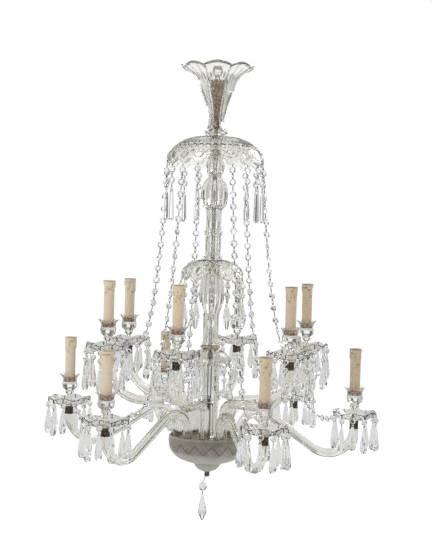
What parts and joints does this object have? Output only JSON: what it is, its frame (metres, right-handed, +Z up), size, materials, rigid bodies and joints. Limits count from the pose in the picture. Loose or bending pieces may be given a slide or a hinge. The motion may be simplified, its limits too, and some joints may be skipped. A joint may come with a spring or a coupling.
{
  "type": "chandelier",
  "caption": "Glass chandelier: a rod threaded with canopies and balusters, tiered curved arms carrying candle lamps, bead festoons and hanging drops.",
  "frame": {"origin": "centre of the hanging eye's hole", "axes": "+Z up along the rod; +Y along the eye's hole; -Y towards the viewer"},
  "size_m": [0.7934, 0.7646, 1.0868],
  "materials": {
    "clear_glass": "clear pressed glass, faintly yellow",
    "cut_crystal": "cut and polished crystal",
    "frosted_glass": "frosted glass with a cut band",
    "bronze": "brown patina",
    "steel": "darkened",
    "gilt_brass": "gilt, polished",
    "dark_brass": "aged, satin",
    "candle_card": "card sleeve, waxed",
    "lampholder": "moulded, matt, ivory white"
  },
  "bodies": {
    "column": {"top_vase": "clear_glass", "trumpet_collar": "clear_glass", "top_canopy": "clear_glass", "ball_spacer": "clear_glass", "onion_baluster": "clear_glass", "ringed_tube": "clear_glass", "middle_canopy": "clear_glass", "tulip_baluster": "clear_glass", "lower_canopy": "clear_glass", "glass_column": "clear_glass", "glass_disc": "clear_glass", "lower_vase": "clear_glass", "bowl_cup": "clear_glass", "drip_dishes": "clear_glass", "candle_cups": "clear_glass", "lower_arm_1": "clear_glass", "lower_arm_2": "clear_glass", "lower_arm_3": "clear_glass", "lower_arm_4": "clear_glass", "lower_arm_5": "clear_glass", "lower_arm_6": "clear_glass", "upper_arm_1": "clear_glass", "upper_arm_2": "clear_glass", "upper_arm_3": "clear_glass", "upper_arm_4": "clear_glass", "upper_arm_5": "clear_glass", "upper_arm_6": "clear_glass", "bowl": "frosted_glass", "suspension_rod": "steel", "receiver_nut": "steel", "pendant_hook": "steel", "bronze_sleeve": "bronze", "gilt_washer": "gilt_brass", "arm_receiver": "dark_brass", "finial_nut": "dark_brass", "arm_ferrules": "dark_brass", "lampholders": "lampholder", "candle_sleeves": "candle_card", "lower_dish_drops": "cut_crystal", "upper_dish_drops": "cut_crystal", "middle_canopy_strings": "cut_crystal", "lower_canopy_strings": "cut_crystal"},
    "prism_string_1": {"prism_string_1": "cut_crystal"},
    "prism_string_2": {"prism_string_2": "cut_crystal"},
    "prism_string_3": {"prism_string_3": "cut_crystal"},
    "prism_string_4": {"prism_string_4": "cut_crystal"},
    "prism_string_5": {"prism_string_5": "cut_crystal"},
    "prism_string_6": {"prism_string_6": "cut_crystal"},
    "prism_string_7": {"prism_string_7": "cut_crystal"},
    "prism_string_8": {"prism_string_8": "cut_crystal"},
    "festoon_chain_1": {"festoon_chain_1": "cut_crystal"},
    "festoon_chain_2": {"festoon_chain_2": "cut_crystal"},
    "festoon_chain_3": {"festoon_chain_3": "cut_crystal"},
    "festoon_chain_4": {"festoon_chain_4": "cut_crystal"},
    "festoon_chain_5": {"festoon_chain_5": "cut_crystal"},
    "festoon_chain_6": {"festoon_chain_6": "cut_crystal"},
    "swag_right": {"swag_right": "cut_crystal"},
    "swag_left": {"swag_left": "cut_crystal"},
    "pendant_bead": {"pendant_bead": "cut_crystal"},
    "pendant_drop": {"pendant_drop": "cut_crystal"}
  },
  "joints": [
    {"name": "prism_string_1_swing", "type": "hinge", "parent": "column", "child": "prism_string_1", "pos_m": [0.10046, -0.058, -0.2264], "axis": [-0.5, -0.866, 0], "range_deg": [-10, 30]},
    {"name": "prism_string_2_swing", "type": "hinge", "parent": "column", "child": "prism_string_2", "pos_m": [0.07456, -0.08886, -0.2264], "axis": [-0.766, -0.6428, 0], "range_deg": [-10, 30]},
    {"name": "prism_string_3_swing", "type": "hinge", "parent": "column", "child": "prism_string_3", "pos_m": [-0.03967, -0.109, -0.2264], "axis": [-0.9397, 0.342, 0], "range_deg": [-10, 30]},
    {"name": "prism_string_4_swing", "type": "hinge", "parent": "column", "child": "prism_string_4", "pos_m": [-0.10046, -0.058, -0.2264], "axis": [-0.5, 0.866, 0], "range_deg": [-10, 30]},
    {"name": "prism_string_5_swing", "type": "hinge", "parent": "column", "child": "prism_string_5", "pos_m": [-0.11424, -0.02014, -0.2264], "axis": [-0.1736, 0.9848, 0], "range_deg": [-10, 30]},
    {"name": "prism_string_6_swing", "type": "hinge", "parent": "column", "child": "prism_string_6", "pos_m": [-0.07456, 0.08886, -0.2264], "axis": [0.766, 0.6428, 0], "range_deg": [-10, 30]},
    {"name": "prism_string_7_swing", "type": "hinge", "parent": "column", "child": "prism_string_7", "pos_m": [0.10046, 0.058, -0.2264], "axis": [0.5, -0.866, 0], "range_deg": [-10, 30]},
    {"name": "prism_string_8_swing", "type": "hinge", "parent": "column", "child": "prism_string_8", "pos_m": [0.11424, 0.02014, -0.2264], "axis": [0.1736, -0.9848, 0], "range_deg": [-10, 30]},
    {"name": "festoon_chain_1_swing", "type": "hinge", "parent": "column", "child": "festoon_chain_1", "pos_m": [0.11424, -0.02014, -0.2264], "axis": [0.1161, -0.2402, -0.9637], "range_deg": [-25, 25]},
    {"name": "festoon_chain_2_swing", "type": "hinge", "parent": "column", "child": "festoon_chain_2", "pos_m": [0.07456, 0.08886, -0.2264], "axis": [0.1694, 0.2671, -0.9487], "range_deg": [-25, 25]},
    {"name": "festoon_chain_3_swing", "type": "hinge", "parent": "column", "child": "festoon_chain_3", "pos_m": [-0.03967, 0.109, -0.2264], "axis": [-0.0679, 0.3089, -0.9487], "range_deg": [-25, 25]},
    {"name": "festoon_chain_4_swing", "type": "hinge", "parent": "column", "child": "festoon_chain_4", "pos_m": [-0.11424, 0.02014, -0.2264], "axis": [-0.1167, 0.2146, -0.9697], "range_deg": [-25, 25]},
    {"name": "festoon_chain_5_swing", "type": "hinge", "parent": "column", "child": "festoon_chain_5", "pos_m": [-0.07456, -0.08886, -0.2264], "axis": [-0.1694, -0.2671, -0.9487], "range_deg": [-25, 25]},
    {"name": "festoon_chain_6_swing", "type": "hinge", "parent": "column", "child": "festoon_chain_6", "pos_m": [0.03967, -0.109, -0.2264], "axis": [0.0679, -0.3089, -0.9487], "range_deg": [-25, 25]},
    {"name": "swag_right_swing", "type": "hinge", "parent": "column", "child": "swag_right", "pos_m": [0.32303, -0.01396, -0.795], "axis": [-0.342, 0.9397, 0], "range_deg": [-25, 25]},
    {"name": "swag_left_swing", "type": "hinge", "parent": "column", "child": "swag_left", "pos_m": [-0.32303, 0.01396, -0.795], "axis": [0.342, -0.9397, 0], "range_deg": [-25, 25]},
    {"name": "pendant_bead_swing", "type": "hinge", "parent": "column", "child": "pendant_bead", "pos_m": [-0.009, 0, -0.9779], "axis": [0, 1, 0], "range_deg": [-40, 40]},
    {"name": "pendant_drop_swing", "type": "hinge", "parent": "pendant_bead", "child": "pendant_drop", "pos_m": [-0.009, 0, -1.0083], "axis": [1, 0, 0], "range_deg": [-40, 40]}
  ]
}
